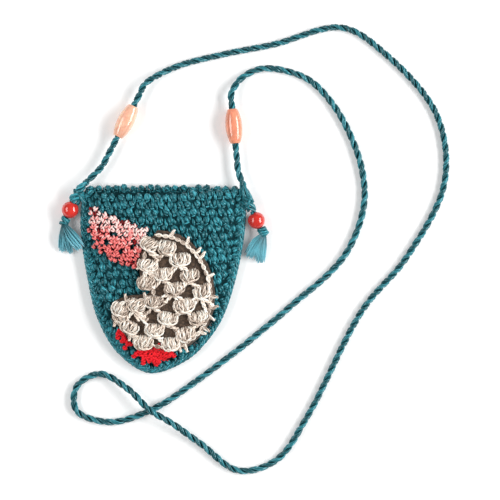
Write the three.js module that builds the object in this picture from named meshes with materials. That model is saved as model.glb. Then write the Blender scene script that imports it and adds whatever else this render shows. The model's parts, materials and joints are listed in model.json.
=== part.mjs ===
// A small crocheted neck pouch with an openwork lace patch, lying on its back.
// Millimetres. +Z is up and +Y points to the mouth. It rests on Z = 0, with its box centred on the origin.
import * as THREE from "three";
import { LoftGeometry } from "three/addons/geometries/LoftGeometry.js";

// Driving dimensions
const GAP = 0.35; // left between pieces that touch
const BACK_THICKNESS = 2.2;
const FRONT_THICKNESS = 2.2;
const PUFF = 7.6; // how far the empty pouch stands open inside
const BACK_RIM_Y = 44.2; // the back's rim shows beyond the front's
const SEAM_HALF_WIDTH = 1.6;
const SEAM_HALF_HEIGHT = 2.5;
const CORD_DIAMETER = 3.1;
const CORD_STEPS = 84;
const BARREL = { length: 16.2, radius: 3.95, endRadius: 2.15, hole: 1.8 };
const ROUND_BEAD = { radius: 4, hole: 1.25 };
const STEM_RADIUS = 0.9; // the cord's end, drawn thin through the round bead
const KNOT_RADIUS = 2.4;

// The outer edge of the seam, from the mouth's left corner round the tip to its right corner
const SEAM_EDGE = [
  [-37.8, 43],
  [-39.2, 34],
  [-39.2, 22.5],
  [-36.4, 2],
  [-31.3, -18.5],
  [-22, -35],
  [-6.5, -44.2],
  [11, -37.6],
  [20, -29],
  [27.5, -18],
  [34.5, 3],
  [38.8, 24.5],
  [39.2, 35],
  [38, 43],
];

// The neck cord's centreline, from the left corner to the right one
const CORD_ROUTE = [
  [-36.9, 45.2, 5],
  [-28.9, 53.4, 4.1],
  [-26.3, 58.2, 4.1],
  [-11.3, 87, 4.1],
  [-8.7, 92, 4.1],
  [5.5, 100.2, 2],
  [29, 106.4, 1.7],
  [52, 110.9, 1.7],
  [84, 118.8, 1.7],
  [104, 106.8, 1.7],
  [128.7, 77.5, 1.7],
  [132.2, 45.5, 1.7],
  [114.2, 10.3, 1.7],
  [93.8, -14, 1.7],
  [67.7, -64.3, 1.7],
  [53.6, -84.4, 1.7],
  [35.5, -89.8, 1.7],
  [17.2, -76.9, 2.2],
  [4.5, -67.7, 4.4],
  [-6, -61.3, 5.4],
  [-16.7, -51.2, 4.4],
  [-29.8, -44.2, 2.2],
  [-41, -50.3, 1.7],
  [-41, -61.4, 1.7],
  [-26, -66.9, 1.7],
  [-6, -61.3, 1.7],
  [22, -42.8, 1.7],
  [59.5, -12.7, 1.7],
  [85.8, 12.4, 1.7],
  [94.7, 40, 1.7],
  [86.6, 71.1, 1.7],
  [69, 93.8, 1.7],
  [48, 99.6, 1.8],
  [38, 96, 2.2],
  [33.2, 90.5, 3.6],
  [31.75, 86.6, 4.1],
  [32, 84, 4.1],
  [34.6, 56.4, 4.1],
  [35.1, 51.2, 4.1],
  [37.7, 44.2, 4.8],
];

// Where the barrel beads sit on the cord, and the way its two straight stretches run there
const LEFT_BARREL = { at: [-17.75, 74.57, 4.1], along: [15, 28.8, 0] };
const RIGHT_BARREL = { at: [33.1, 72.3, 4.1], along: [-2.6, 27.6, 0] };

// Lace patches on the front: the two long edges of each, both run the same way
const BOBBLE_LACE = {
  outer: [
    [-3.1, 22.6],
    [6.8, 20.7],
    [16.2, 13.2],
    [22.3, 0.9],
    [22.8, -13.2],
    [17.2, -25.4],
    [5.9, -32.4],
    [-7.3, -31],
    [-17.6, -24.8],
    [-24.2, -17.4],
  ],
  inner: [
    [-9.6, 13.2],
    [-10.1, 7.5],
    [-9.6, 2.4],
    [-8.2, -1.9],
    [-5.4, -4.7],
    [-5.4, -6.6],
    [-8.2, -7.6],
    [-12.9, -8],
    [-18.6, -9],
    [-23.6, -11.3],
  ],
};
const PINK_LACE = {
  outer: [[-34.8, 33.5], [-28, 31.3], [-19.5, 27.5], [-8.5, 23.4]],
  inner: [[-34.4, 27], [-33, 19], [-26.3, 12.4], [-13.2, 6]],
};
const RED_LACE = {
  outer: [[-22.4, -22], [-19.6, -28.6], [-14, -33.1], [-6.5, -34.3], [4.9, -35.3]],
  inner: [[-23, -24.2], [-20, -30.4], [-13, -36.2], [-4.5, -38.8], [5.2, -37]],
};
const LACE_LIFT = 0.6; // how far lace and cloth lie over the front
const BACKING_THICKNESS = 0.6;
const BOBBLE_THICKNESS = 2.8;
const FINE_LACE_THICKNESS = 1.5;
const BACKING_MARGIN = 1.1; // how far the cloth under the bobble lace shows past it

// Corners: where the cord is lashed to the pouch, and the bead and tassel that hang from there
const CORNERS = {
  left: {
    lashing: [[-37.9, 43.4, 4.8], [-39.1, 35.4, 4.6]],
    bead: [-43.8, 33, 4.1],
    hang: [-0.43, -0.87, -0.24],
    tassel: [-44.6, 13.2, 1.3],
    tasselHalfWidth: 5,
  },
  right: {
    lashing: [[38, 43, 4.8], [39.6, 33.4, 4.6]],
    bead: [43.7, 28, 4.1],
    hang: [0.5, -0.83, -0.24],
    tassel: [43.2, 7.8, 1.3],
    tasselHalfWidth: 4.6,
  },
};
const LASHING_RADIUS = 2.5;

const COLOURS = {
  teal: 0x14606a,
  paleTeal: 0x4fa3b3,
  beige: 0xdcc9b8,
  brown: 0x3f2f24,
  pink: 0xf0808a,
  red: 0xe8202c,
  coral: 0xf2a184,
  carnelian: 0xd8321f,
};
const YARN_ROUGHNESS = 0.75;
const BEAD_ROUGHNESS = 0.15;

const UP = new THREE.Vector3(0, 0, 1);
const TURNING_AXIS = new THREE.Vector3(0, 1, 0); // beads are turned about this line, then set on the cord

const pouch = new THREE.Group();

function addPiece(name, geometry, colour, roughness, parent = pouch) {
  const material = new THREE.MeshStandardMaterial({ color: colour, roughness, metalness: 0 });
  const piece = new THREE.Mesh(geometry, material);
  piece.name = name;
  parent.add(piece);
  return piece;
}

function addYarnPiece(name, geometry, colour, parent) {
  return addPiece(name, geometry, colour, YARN_ROUGHNESS, parent);
}

function addBead(name, geometry, colour, parent) {
  return addPiece(name, geometry, colour, BEAD_ROUGHNESS, parent);
}

function vectorOf([x, y, z = 0]) {
  return new THREE.Vector3(x, y, z);
}

// The pouch's shape
const seamEdge = new THREE.CatmullRomCurve3(SEAM_EDGE.map(vectorOf));
const PANEL_INSET = 2 * SEAM_HALF_WIDTH + GAP;
const TIP_SHARE = 0.44; // the front's rows end here along the seam, and the last row bows down to the tip

// A point of the seam's edge at a share of its length, moved inwards
function insideSeam(share, inset) {
  const point = seamEdge.getPointAt(share);
  const along = seamEdge.getTangentAt(share);
  return new THREE.Vector3(point.x - along.y * inset, point.y + along.x * inset, 0);
}

const tipLeft = insideSeam(TIP_SHARE, PANEL_INSET);
const tipRight = insideSeam(1 - TIP_SHARE, PANEL_INSET);
const TIP_BOW = 0.8 * ((tipLeft.y + tipRight.y) / 2 - insideSeam(0.5, PANEL_INSET).y);

// The two ends of a row of the front: down is 0 at the mouth and 1 at the tip
function rowEnds(down) {
  const share = down * TIP_SHARE;
  return [insideSeam(share, PANEL_INSET), insideSeam(1 - share, PANEL_INSET)];
}

function onRow([left, right], across, down) {
  const point = left.clone().lerp(right, across);
  point.y -= TIP_BOW * down * down * 4 * across * (1 - across);
  return point;
}

// Height of the front's outer face over the surface that the pouch lies on
function frontHeight(across, down) {
  const arch = Math.sqrt(Math.max(0, Math.sin(Math.PI * across)));
  return BACK_THICKNESS + GAP + PUFF * arch * (1 - down ** 2.5) + FRONT_THICKNESS;
}

// The same height at a point seen from above, found by halving the span of rows
function frontHeightAt(x, y) {
  let upper = 0;
  let lower = 1;
  let across = 0.5;
  for (let i = 0; i < 24; i++) {
    const down = (upper + lower) / 2;
    const ends = rowEnds(down);
    across = THREE.MathUtils.clamp((x - ends[0].x) / (ends[1].x - ends[0].x), 0, 1);
    if (onRow(ends, across, down).y > y) upper = down;
    else lower = down;
  }
  return frontHeight(across, (upper + lower) / 2);
}

// A closed section with its upper points from left to right and its lower ones back
function slab(uppers, lowers) {
  return [...lowers, ...uppers.toReversed()];
}

function loft(sections) {
  return new LoftGeometry(sections, { capStart: true, capEnd: true });
}

function makeBack() {
  const shape = new THREE.Shape();
  const points = [];
  for (let i = 0; i <= 56; i++) points.push(insideSeam(i / 56, PANEL_INSET));
  points.unshift(new THREE.Vector3(points[0].x, BACK_RIM_Y, 0));
  points.push(new THREE.Vector3(points.at(-1).x, BACK_RIM_Y, 0));
  shape.setFromPoints(points);
  return new THREE.ExtrudeGeometry(shape, { depth: BACK_THICKNESS, bevelEnabled: false });
}

function makeFront() {
  const rows = 14;
  const columns = 18;
  const sections = [];
  for (let row = 0; row <= rows; row++) {
    const down = row / rows;
    const ends = rowEnds(down);
    const outer = [];
    const inner = [];
    for (let i = 0; i <= columns; i++) {
      const across = i / columns;
      const point = onRow(ends, across, down);
      const height = frontHeight(across, down);
      outer.push(point.clone().setZ(height));
      inner.push(point.clone().setZ(height - FRONT_THICKNESS));
    }
    sections.push(slab(outer, inner));
  }
  return loft(sections);
}

// An oval swept along a list of points; width lies level and height stands across it
function sweepOval(stations, corners) {
  return loft(
    stations.map(({ at, along, halfWidth, halfHeight }) => {
      const side = new THREE.Vector3().crossVectors(UP, along).normalize();
      const over = new THREE.Vector3().crossVectors(along, side).normalize();
      return Array.from({ length: corners }, (_, i) => {
        const turn = (2 * Math.PI * i) / corners;
        return at
          .clone()
          .addScaledVector(side, halfWidth * Math.cos(turn))
          .addScaledVector(over, halfHeight * Math.sin(turn));
      });
    }),
  );
}

// The seam runs down one side, round the tip and up the other, below the corner lashings
function makeSeam() {
  const steps = 48;
  const [start, end] = [0.045, 0.945];
  const stations = [];
  for (let i = 0; i <= steps; i++) {
    const share = start + ((end - start) * i) / steps;
    stations.push({
      at: insideSeam(share, SEAM_HALF_WIDTH).setZ(SEAM_HALF_HEIGHT + 0.05),
      along: seamEdge.getTangentAt(share),
      halfWidth: SEAM_HALF_WIDTH,
      halfHeight: SEAM_HALF_HEIGHT,
    });
  }
  return sweepOval(stations, 10);
}

// A patch of cloth or lace between two edges, from lift to lift plus thickness above the front
function makePatch({ outer, inner }, lift, thickness, margin = 0) {
  const steps = 18;
  const columns = 7;
  const outerLine = new THREE.CatmullRomCurve3(outer.map(vectorOf));
  const innerLine = new THREE.CatmullRomCurve3(inner.map(vectorOf));
  const sections = [];
  for (let i = 0; i <= steps; i++) {
    const start = innerLine.getPoint(i / steps);
    const end = outerLine.getPoint(i / steps);
    const growth = end.clone().sub(start).setLength(margin);
    start.sub(growth);
    end.add(growth);
    const uppers = [];
    const lowers = [];
    for (let j = 0; j <= columns; j++) {
      const point = start.clone().lerp(end, j / columns);
      const bottom = frontHeightAt(point.x, point.y) + lift;
      lowers.push(point.clone().setZ(bottom));
      uppers.push(point.clone().setZ(bottom + thickness));
    }
    sections.push(slab(uppers, lowers));
  }
  return loft(sections);
}

function makeCord() {
  const section = new THREE.Shape();
  const sides = 8;
  section.setFromPoints(
    Array.from({ length: sides }, (_, i) => {
      const turn = (2 * Math.PI * i) / sides;
      return new THREE.Vector2(Math.cos(turn), Math.sin(turn)).multiplyScalar(CORD_DIAMETER / 2);
    }),
  );
  const route = new THREE.CatmullRomCurve3(CORD_ROUTE.map(vectorOf));
  return new THREE.ExtrudeGeometry(section, { steps: CORD_STEPS, extrudePath: route });
}

// A bead turned about Y, with a bore along its axis
function makeBead(half, hole, radiusAt) {
  const rings = 10;
  const profile = [new THREE.Vector2(hole, half)];
  profile.push(new THREE.Vector2(hole, -half));
  for (let i = 0; i <= rings; i++) {
    const y = half * ((2 * i) / rings - 1);
    profile.push(new THREE.Vector2(radiusAt(y), y));
  }
  profile.push(profile[0].clone());
  return new THREE.LatheGeometry(profile, 18);
}

function makeBarrel() {
  const { length, radius, endRadius, hole } = BARREL;
  const half = length / 2;
  const bulge = (y) => (1 - (y / half) ** 2) ** 0.8;
  return makeBead(half, hole, (y) => endRadius + (radius - endRadius) * bulge(y));
}

function makeRoundBead() {
  const { radius, hole } = ROUND_BEAD;
  const half = radius * 0.93; // drilled flat at both ends
  return makeBead(half, hole, (y) => Math.sqrt(radius * radius - y * y));
}

function turnTo(piece, at, direction) {
  piece.position.copy(at);
  piece.quaternion.setFromUnitVectors(TURNING_AXIS, direction.clone().normalize());
}

// A cord end: a thin stem through the bead, a knot under it and a fan of loose ends
function makeTassel({ bead, hang, tassel, tasselHalfWidth }) {
  const along = vectorOf(hang).normalize();
  const reach = ROUND_BEAD.radius + GAP;
  const knotAt = reach + KNOT_RADIUS;
  const centre = vectorOf(bead);
  const at = (distance) => centre.clone().addScaledVector(along, distance);
  const round = (distance, radius) => ({ at: at(distance), along, halfWidth: radius, halfHeight: radius });
  const stations = [round(-reach - 0.6, STEM_RADIUS), round(reach, STEM_RADIUS)];
  for (const part of [-0.8, -0.4, 0, 0.4, 0.8]) {
    stations.push(round(knotAt + part * KNOT_RADIUS, KNOT_RADIUS * Math.sqrt(1 - part * part)));
  }
  const neck = at(knotAt + KNOT_RADIUS);
  const end = vectorOf(tassel);
  const fanAlong = end.clone().sub(neck).normalize();
  for (const share of [0.1, 0.4, 0.7, 1]) {
    stations.push({
      at: neck.clone().lerp(end, share),
      along: fanAlong,
      halfWidth: THREE.MathUtils.lerp(1.3, tasselHalfWidth, share ** 0.8),
      halfHeight: 1.1,
    });
  }
  return sweepOval(stations, 12);
}

function makeLashing([from, to]) {
  const start = vectorOf(from);
  const along = vectorOf(to).sub(start);
  const radiusAt = (part) => LASHING_RADIUS * Math.sqrt(1 - part ** 4);
  const stations = [-0.95, -0.7, -0.3, 0.3, 0.7, 0.95].map((part) => ({
    at: start.clone().addScaledVector(along, (part + 1) / 2),
    along: along.clone().normalize(),
    halfWidth: radiusAt(part),
    halfHeight: radiusAt(part),
  }));
  return sweepOval(stations, 12);
}

function addBarrel(name, { at, along }) {
  const bead = addBead(name, makeBarrel(), COLOURS.coral);
  turnTo(bead, vectorOf(at), vectorOf(along));
}

function addCorner(side, corner) {
  const group = new THREE.Group();
  group.name = `${side}_corner`;
  pouch.add(group);
  addYarnPiece(`${side}_cord_lashing`, makeLashing(corner.lashing), COLOURS.teal, group);
  addYarnPiece(`${side}_tassel`, makeTassel(corner), COLOURS.paleTeal, group);
  const bead = addBead(`${side}_round_bead`, makeRoundBead(), COLOURS.carnelian, group);
  turnTo(bead, vectorOf(corner.bead), vectorOf(corner.hang));
}

// The whole pouch
const backing = makePatch(BOBBLE_LACE, LACE_LIFT, BACKING_THICKNESS, BACKING_MARGIN);
const bobbles = makePatch(BOBBLE_LACE, LACE_LIFT + BACKING_THICKNESS + GAP, BOBBLE_THICKNESS);
addYarnPiece("back_panel", makeBack(), COLOURS.teal);
addYarnPiece("front_panel", makeFront(), COLOURS.teal);
addYarnPiece("side_seam", makeSeam(), COLOURS.teal);
addYarnPiece("lace_backing", backing, COLOURS.brown);
addYarnPiece("bobble_lace", bobbles, COLOURS.beige);
addYarnPiece("pink_lace", makePatch(PINK_LACE, LACE_LIFT, FINE_LACE_THICKNESS), COLOURS.pink);
addYarnPiece("red_lace", makePatch(RED_LACE, LACE_LIFT, FINE_LACE_THICKNESS), COLOURS.red);
addYarnPiece("neck_cord", makeCord(), COLOURS.teal);
addBarrel("left_barrel_bead", LEFT_BARREL);
addBarrel("right_barrel_bead", RIGHT_BARREL);
addCorner("left", CORNERS.left);
addCorner("right", CORNERS.right);

export default pouch;
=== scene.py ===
"""A small crocheted neck pouch with a patch of coloured lace, lying on its back on a white table."""

import json
import math
import random
from collections import namedtuple

import bmesh
import bpy
from mathutils import Matrix, Vector
from mathutils.bvhtree import BVHTree
from mathutils.geometry import interpolate_bezier

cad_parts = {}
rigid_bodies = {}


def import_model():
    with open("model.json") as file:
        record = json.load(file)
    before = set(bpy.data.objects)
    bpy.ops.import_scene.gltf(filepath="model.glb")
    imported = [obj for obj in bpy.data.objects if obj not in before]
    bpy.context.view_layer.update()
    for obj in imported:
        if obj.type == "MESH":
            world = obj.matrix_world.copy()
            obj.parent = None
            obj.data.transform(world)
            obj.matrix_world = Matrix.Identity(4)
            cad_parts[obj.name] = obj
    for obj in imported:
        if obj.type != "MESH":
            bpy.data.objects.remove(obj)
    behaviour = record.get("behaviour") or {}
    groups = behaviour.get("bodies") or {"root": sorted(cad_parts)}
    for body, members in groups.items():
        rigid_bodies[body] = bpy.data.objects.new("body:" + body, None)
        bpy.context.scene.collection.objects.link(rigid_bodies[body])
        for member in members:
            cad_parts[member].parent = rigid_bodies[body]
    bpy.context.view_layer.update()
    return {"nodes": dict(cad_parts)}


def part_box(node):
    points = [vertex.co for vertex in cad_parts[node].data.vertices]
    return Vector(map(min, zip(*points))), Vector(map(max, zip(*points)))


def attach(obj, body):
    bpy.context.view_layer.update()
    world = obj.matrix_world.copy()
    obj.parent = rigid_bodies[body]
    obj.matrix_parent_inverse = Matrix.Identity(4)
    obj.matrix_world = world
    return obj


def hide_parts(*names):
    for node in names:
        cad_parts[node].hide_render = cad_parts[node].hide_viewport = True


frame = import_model()

bl_info = {
    "name": "Lace Pouch",
    "version": (1, 0, 0),
    "blender": (4, 5, 0),
    "location": "View3D > Sidebar > Lace Pouch",
    "description": "Builds a crocheted neck pouch with lace, cord, beads and tassels",
    "category": "Add Mesh",
}

MM = 0.001
UP = Vector((0, 0, 1))
DOWN = Vector((0, 0, -1))
FULL_TURN = 2 * math.pi

# The ways along, up and out of a row of stitches that lies flat
ROW_AXES = (Vector((1, 0, 0)), Vector((0, 1, 0)), UP)

# Steps between the points along the cord and along the seam, and where the seam's chain ends
CORD_STEP = 0.8 * MM
SEAM_STEP = 0.9 * MM
SEAM_TOP = 42 * MM

# The neck cord's centreline in millimetres, from the left corner to the right one
CORD_ROUTE = (
    (-36.9, 45.2, 5), (-28.9, 53.4, 4.1), (-26.3, 58.2, 4.1), (-11.3, 87, 4.1), (-8.7, 92, 4.1),
    (5.5, 100.2, 2), (29, 106.4, 1.7), (52, 110.9, 1.7), (84, 118.8, 1.7), (104, 106.8, 1.7),
    (128.7, 77.5, 1.7), (132.2, 45.5, 1.7), (114.2, 10.3, 1.7), (93.8, -14, 1.7), (67.7, -64.3, 1.7),
    (53.6, -84.4, 1.7), (35.5, -89.8, 1.7), (17.2, -76.9, 2.2), (4.5, -67.7, 4.4), (-6, -61.3, 5.4),
    (-16.7, -51.2, 4.4), (-29.8, -44.2, 2.2), (-41, -50.3, 1.7), (-41, -61.4, 1.7), (-26, -66.9, 1.7),
    (-6, -61.3, 1.7), (22, -42.8, 1.7), (59.5, -12.7, 1.7), (85.8, 12.4, 1.7), (94.7, 40, 1.7),
    (86.6, 71.1, 1.7), (69, 93.8, 1.7), (48, 99.6, 1.8), (38, 96, 2.2), (33.2, 90.5, 3.6),
    (31.75, 86.6, 4.1), (32, 84, 4.1), (34.6, 56.4, 4.1), (35.1, 51.2, 4.1), (37.7, 44.2, 4.8),
)

# The outer edge of the seam in millimetres, from the mouth's left corner round the tip to its right corner
SEAM_EDGE = (
    (-37.8, 43), (-39.2, 34), (-39.2, 22.5), (-36.4, 2), (-31.3, -18.5), (-21.7, -34.7), (-6.5, -44.2),
    (11.4, -38), (20.6, -29.4), (28.1, -18.2), (35, 2.8), (38.8, 24.5), (39.2, 35), (38, 43),
)

# The bobbles of the beige lace in millimetres: place on the front, and the turn of the threads in degrees
BOBBLES = (
    (-6.3, 17, -28), (1.8, 15.4, -6), (8, 9.8, 12), (-7, 7.2, -12), (0.2, 3, 8), (12.5, 2.4, 14),
    (-7.6, -0.9, -8), (5.4, -3.8, 10), (18, -5.2, 22), (-4.2, -9.9, -4), (9.8, -11.7, 4),
    (-12.4, -11.6, -20), (-20, -13.6, -32), (2.2, -17.6, -6), (16.6, -17.4, 12), (-15.6, -21.6, -14),
    (-4, -23, -4), (10.4, -25, 16), (-9.2, -28.8, -10), (3.6, -29.6, 6),
)

# The outer and inner edges of the beige lace in millimetres, from its top round to its lower left end
LACE_OUTER = (
    (-3.1, 22.6), (6.8, 20.7), (16.2, 13.2), (22.3, 0.9), (22.8, -13.2), (17.2, -25.4), (5.9, -32.4),
    (-7.3, -31), (-17.6, -24.8), (-24.2, -17.4),
)
LACE_INNER = (
    (-9.6, 13.2), (-10.1, 7.5), (-9.6, 2.4), (-8.2, -1.9), (-5.4, -4.7), (-5.4, -6.6), (-8.2, -7.6),
    (-12.9, -8), (-18.6, -9), (-23.6, -11.3),
)

# Open holes in the pink lace, in millimetres
PINK_HOLES = ((-26.6, 16.8), (-19.3, 14.1), (-14, 15.6), (-23.4, 21.4))

# The round patches that make up the red lace in millimetres: place and radius
RED_PATCHES = (
    (-20.2, -24.8, 2.1), (-18.4, -28, 1.7), (-16.4, -31, 1.7), (-10.6, -34, 2.4), (-8, -35.2, 3),
    (-5, -34.4, 3.6), (-2.4, -33.8, 3.6), (-4, -37.2, 2.8), (-1.8, -31, 1.6), (0.8, -35, 2.8),
    (3, -34.2, 2.2),
)

# Where single red stitches stand out from the patches, in millimetres
RED_TEETH = (
    (-21.8, -27.2), (-18.4, -32.2), (-12.6, -35), (-14, -36), (-9.2, -37.8), (-9.5, -39.2), (-5, -40.2),
    (-2, -38.6), (-1.4, -39.8), (2.2, -37.2), (3.1, -39.2), (5.1, -35.8),
)

# The lengths of yarn that lash each corner, where its bead and knot hang, and the lobes of its tassel as the
# place of the tip and half its width, in millimetres
Corner = namedtuple("Corner", "side lashing bead hang lobes")
CORNERS = (
    Corner(
        "left",
        (
            ((-36.2, 45.8, 5.2), (-38.6, 44.2, 6.4), (-40.4, 42.6, 5.2), (-39.4, 40.8, 4.2)),
            ((-37.2, 44.4, 4.2), (-38.2, 42.2, 6.2), (-40.6, 41, 6), (-41.6, 42.4, 4.6)),
            ((-37.6, 40.6, 4.6), (-40.6, 40.4, 6), (-43.2, 38.8, 5), (-43.4, 37.2, 4)),
            ((-37.4, 39.2, 4.4), (-40, 38.6, 5.8), (-42.4, 37, 5), (-42.2, 35.8, 4)),
            ((-39.8, 41.2, 5.2), (-38.8, 38.8, 6.2), (-37.2, 36.4, 5.2), (-36.6, 35, 4)),
            ((-41, 40.6, 4), (-39.6, 37.2, 4.8), (-40.8, 35.6, 4.2), (-41.6, 34.8, 3.6)),
        ),
        (-43.8, 33, 4.1),
        (-0.43, -0.87, -0.24),
        ((-47.5, 13.4, 1, 1.7), (-43.6, 12.9, 1, 1.2), (-38.5, 14.9, 5.6, 2.2)),
    ),
    Corner(
        "right",
        (
            ((37.3, 45.6, 4.6), (38.9, 42, 5.6), (40.6, 38.9, 5.6), (41.9, 36.4, 4.4)),
            ((36.5, 44.8, 4.4), (37.4, 41.6, 5.6), (38.3, 38.6, 5.6), (38.2, 36.2, 4.6)),
            ((37.4, 39.2, 4.6), (39, 38.2, 6.4), (40.9, 38, 6), (42, 36.6, 4.2)),
            ((37.2, 36.8, 4.6), (39.2, 35.8, 6.4), (41.4, 35.4, 6), (43, 32.8, 4.6)),
            ((38, 34.8, 4.4), (39.6, 33.6, 6), (41.4, 33.4, 5.4), (43.2, 31.4, 4)),
            ((39.6, 39.4, 4.8), (40.3, 37, 6.6), (39.4, 34.6, 6.2), (39.9, 32.4, 4)),
        ),
        (43.7, 28, 4.1),
        (0.5, -0.83, -0.24),
        ((40, 10.8, 1.4, 2.1), (45.2, 8.3, 1, 2)),
    ),
)

# How many single ends make up a lobe of a tassel
LOBE_ENDS = 64

# The barrel beads on the cord: place and direction of the bore in millimetres, and the resin of each
Barrel = namedtuple("Barrel", "side place along resin")
BARRELS = (
    Barrel("left", (-17.75, 74.57, 4.1), (15, 28.8, 0), "pale_resin"),
    Barrel("right", (33.1, 72.3, 4.1), (-2.6, 27.6, 0), "coral_resin"),
)

# One length of yarn: the points it runs through, its radius and its twist at each
Strand = namedtuple("Strand", "points radii twists")


def linear(hex_colour):
    """A linear colour from an sRGB hex value"""
    parts = [int(hex_colour[i : i + 2], 16) / 255 for i in (0, 2, 4)]
    return tuple(p / 12.92 if p <= 0.04045 else ((p + 0.055) / 1.055) ** 2.4 for p in parts)


def millimetres(*values):
    return Vector(values) * MM


def length_property(name, description, size):
    """A length for the sidebar, given in millimetres"""
    return bpy.props.FloatProperty(
        name=name, description=description, default=size * MM, unit="LENGTH", precision=4
    )


def colour_property(name, description, hex_colour):
    """A colour for the sidebar, given as an sRGB hex value"""
    return bpy.props.FloatVectorProperty(
        name=name, description=description, default=linear(hex_colour), subtype="COLOR", min=0, max=1
    )


class PouchSizes(bpy.types.PropertyGroup):
    """Sizes of the yarn, the cord and the beads"""

    stitch_width: length_property("Stitch width", "Along a row of crochet", 4.3)
    stitch_height: length_property("Row height", "From one row of crochet to the next", 3.7)
    yarn: length_property("Yarn", "Thickness of the teal yarn where it crosses over", 2.35)
    thread: length_property("Lace thread", "Thickness of the beige lace thread", 1.05)
    fine_stitch: length_property("Fine stitch", "Pitch of the pink and red lace", 2.3)
    cord: length_property("Cord", "Thickness of the twisted neck cord", 3.1)
    cord_pitch: length_property("Cord pitch", "Length in which a strand goes once round the cord", 9.6)
    barrel_length: length_property("Barrel length", "Barrel bead along its bore", 16.2)
    barrel_width: length_property("Barrel width", "Barrel bead at its middle", 7.9)
    barrel_end: length_property("Barrel end", "Barrel bead at its ends", 4.3)
    barrel_bore: length_property("Barrel bore", "Hole that the cord runs through", 3.6)
    bead_width: length_property("Round bead", "Round bead across", 8)
    bead_bore: length_property("Round bead's bore", "Hole of a round bead", 2.5)


class PouchColours(bpy.types.PropertyGroup):
    """Colours of the yarns, the cloth and the beads"""

    teal: colour_property("Teal yarn", "Pouch and cord", "2a6e78")
    teal_ends: colour_property("Tassel yarn", "Combed-out cord ends", "59aaba")
    beige: colour_property("Beige thread", "Bobble lace", "eedac9")
    # Also the colour of the painted shade between the plies of the beige thread
    brown: colour_property("Brown cloth", "Cloth behind the bobble lace", "4a3a2d")
    pale_pink: colour_property("Pale pink thread", "Upper part of the pink lace", "fbdcd6")
    coral: colour_property("Coral thread", "Lower part of the pink lace", "f26e6b")
    red: colour_property("Red thread", "Red lace", "ee2431")
    pale_resin: colour_property("Pale resin", "Left barrel bead", "f6b99c")
    coral_resin: colour_property("Coral resin", "Right barrel bead", "e59071")
    bead: colour_property("Round beads", "Beads at the corners", "d12e24")


def sizes():
    return bpy.context.scene.lace_pouch_sizes


def colours():
    return bpy.context.scene.lace_pouch_colours


def shade(colour, amount):
    """A colour made lighter (above 1) or darker (below 1)"""
    return tuple(min(1, c * amount) for c in colour) + (1,)


# Materials


def add_node(tree, kind, inputs=None, **settings):
    """Adds one node with its settings, and sets or links its inputs"""
    made = tree.nodes.new(kind)
    for name, value in settings.items():
        setattr(made, name, value)
    for name, value in (inputs or {}).items():
        if isinstance(value, bpy.types.NodeSocket):
            tree.links.new(value, made.inputs[name])
        else:
            made.inputs[name].default_value = value
    return made


def new_material(name):
    """An empty node material"""
    material = bpy.data.materials.new(name)
    material.use_nodes = True
    material.node_tree.nodes.clear()
    return material


def tones(colour, *stops):
    """Stops of a colour ramp, each a position and how light the colour is there"""
    return [(position, shade(colour, amount)) for position, amount in stops]


def set_ramp(ramp, stops):
    """Sets a colour ramp's stops, each a position and a colour"""
    while len(ramp.color_ramp.elements) < len(stops):
        ramp.color_ramp.elements.new(0.5)
    for element, (position, colour) in zip(ramp.color_ramp.elements, stops):
        element.position = position
        element.color = colour


def yarn_material(name, stops, length, roughness, sheen, plies=3, shine=(1, 1, 1), paling=0.0):
    """Twisted yarn: each length has its own tone, with painted shade between its plies, and fine fibres run
    along it
    """
    material = new_material(name)
    tree = material.node_tree
    island = add_node(tree, "ShaderNodeNewGeometry").outputs["Random Per Island"]
    uv = add_node(tree, "ShaderNodeUVMap", uv_map="UVMap").outputs["UV"]
    along = length / (2.5 * MM)
    fibre_map = add_node(tree, "ShaderNodeMapping", {"Vector": uv, "Scale": (along, 26, 1)})
    offset = add_node(tree, "ShaderNodeMath", {0: island, 1: 60.0}, operation="MULTIPLY")
    fibres = add_node(
        tree,
        "ShaderNodeTexNoise",
        {"Vector": fibre_map.outputs[0], "W": offset.outputs[0], "Scale": 1.0, "Detail": 2.0},
        noise_dimensions="4D",
    )
    own_tone = add_node(tree, "ShaderNodeMix", {"Factor": 0.6, "A": island, "B": fibres.outputs["Fac"]})
    # Painted shade: the tone drops in the grooves between the plies and rises a little on their crests
    split = add_node(tree, "ShaderNodeSeparateXYZ", {"Vector": uv})
    around = add_node(tree, "ShaderNodeMath", {0: split.outputs["Y"], 1: plies}, operation="MULTIPLY")
    groove = add_node(tree, "ShaderNodeMath", {0: around.outputs[0], 1: 0.5}, operation="PINGPONG")
    depth = add_node(
        tree,
        "ShaderNodeMapRange",
        {"Value": groove.outputs[0], "From Max": 0.3, "To Min": -0.32, "To Max": 0.05},
    )
    tone = add_node(
        tree,
        "ShaderNodeMath",
        {0: own_tone.outputs["Result"], 1: depth.outputs["Result"]},
        operation="ADD",
    )
    paled = add_node(tree, "ShaderNodeMix", {"Factor": paling, "A": tone.outputs[0], "B": split.outputs["X"]})
    ramp = add_node(tree, "ShaderNodeValToRGB", {"Fac": paled.outputs["Result"]})
    set_ramp(ramp, stops)
    bump = add_node(
        tree, "ShaderNodeBump", {"Height": fibres.outputs["Fac"], "Strength": 0.5, "Distance": 0.12 * MM}
    )
    shader = add_node(
        tree,
        "ShaderNodeBsdfPrincipled",
        {
            "Base Color": ramp.outputs["Color"],
            "Roughness": roughness,
            "Specular IOR Level": 0.7,
            "Specular Tint": (*shine, 1),
            "Sheen Weight": sheen,
            "Sheen Roughness": 0.4,
            "Sheen Tint": (*shine, 1),
            "Normal": bump.outputs["Normal"],
        },
    )
    add_node(tree, "ShaderNodeOutputMaterial", {"Surface": shader.outputs["BSDF"]})
    return material


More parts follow.
